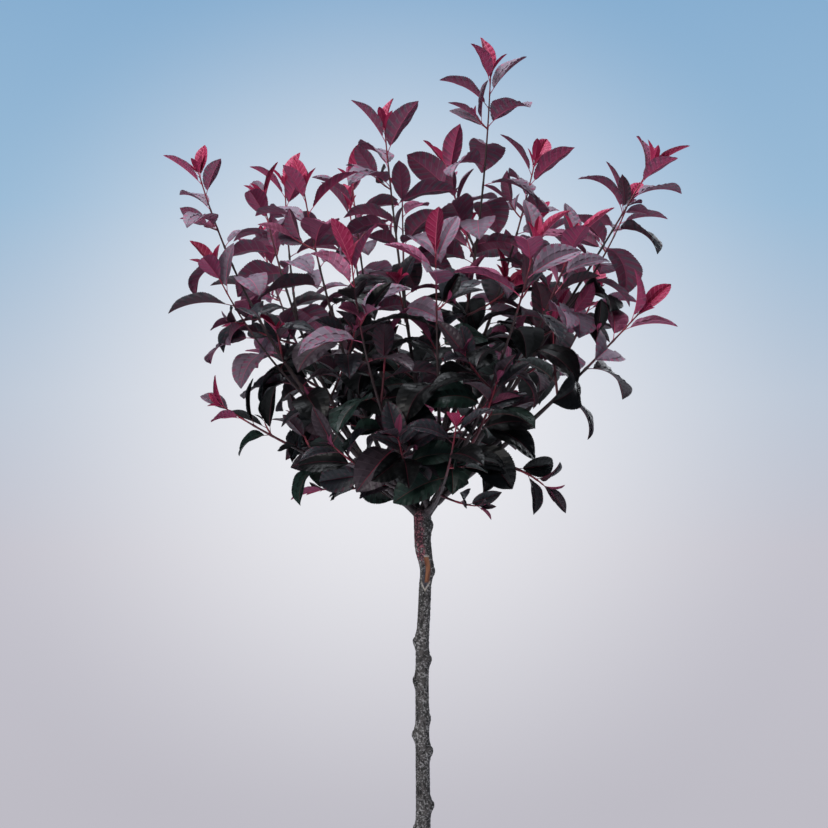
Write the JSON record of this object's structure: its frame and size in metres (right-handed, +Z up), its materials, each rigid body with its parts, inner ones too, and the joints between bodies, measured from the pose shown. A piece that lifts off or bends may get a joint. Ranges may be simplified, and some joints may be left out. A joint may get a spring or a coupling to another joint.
{
  "type": "purple leaf plum",
  "caption": "Small purple leaf plum grown as a standard: a slim grafted stem under an open head of upright leafy shoots.",
  "frame": {"origin": "centre of the flat cut under the stem, at ground level", "axes": "+Z up along the stem, +X to the right and +Y to the back as the picture looks at the plant"},
  "size_m": [0.5498, 0.47, 1.3084],
  "materials": {
    "stem_bark": "rough grey-brown bark with pale lenticels",
    "shoot_bark": "satin dark purple-brown bark",
    "foliage": "dark purple leaves with a dull sheen, crimson at the tips"
  },
  "bodies": {
    "root": {"stem": "stem_bark", "limb_top": "shoot_bark", "limb_left": "shoot_bark", "limb_right": "shoot_bark", "limb_front": "shoot_bark", "limb_back": "shoot_bark", "limb_middle": "shoot_bark", "limb_middle_left": "shoot_bark", "limb_inner_left": "shoot_bark", "limb_left_inner": "shoot_bark", "limb_back_left": "shoot_bark", "limb_front_left": "shoot_bark", "limb_front_middle": "shoot_bark", "limb_top_right": "shoot_bark", "limb_right_inner": "shoot_bark", "limb_right_back": "shoot_bark", "limb_lower_right": "shoot_bark", "limb_back_right": "shoot_bark", "limb_low_right": "shoot_bark", "limb_low_left": "shoot_bark", "limb_low_front_left": "shoot_bark", "limb_low_front": "shoot_bark", "limb_low_inner": "shoot_bark", "limb_inner_right": "shoot_bark", "limb_low_back_left": "shoot_bark", "limb_low_back": "shoot_bark", "limb_low_back_right": "shoot_bark", "leaves_top": "foliage", "leaves_left": "foliage", "leaves_right": "foliage", "leaves_front": "foliage", "leaves_back": "foliage", "leaves_middle": "foliage", "leaves_middle_left": "foliage", "leaves_inner_left": "foliage", "leaves_left_inner": "foliage", "leaves_back_left": "foliage", "leaves_front_left": "foliage", "leaves_front_middle": "foliage", "leaves_top_right": "foliage", "leaves_right_inner": "foliage", "leaves_right_back": "foliage", "leaves_lower_right": "foliage", "leaves_back_right": "foliage", "leaves_low_right": "foliage", "leaves_low_left": "foliage", "leaves_low_front_left": "foliage", "leaves_low_front": "foliage", "leaves_low_inner": "foliage", "leaves_inner_right": "foliage", "leaves_low_back_left": "foliage", "leaves_low_back": "foliage", "leaves_low_back_right": "foliage"}
  },
  "joints": []
}
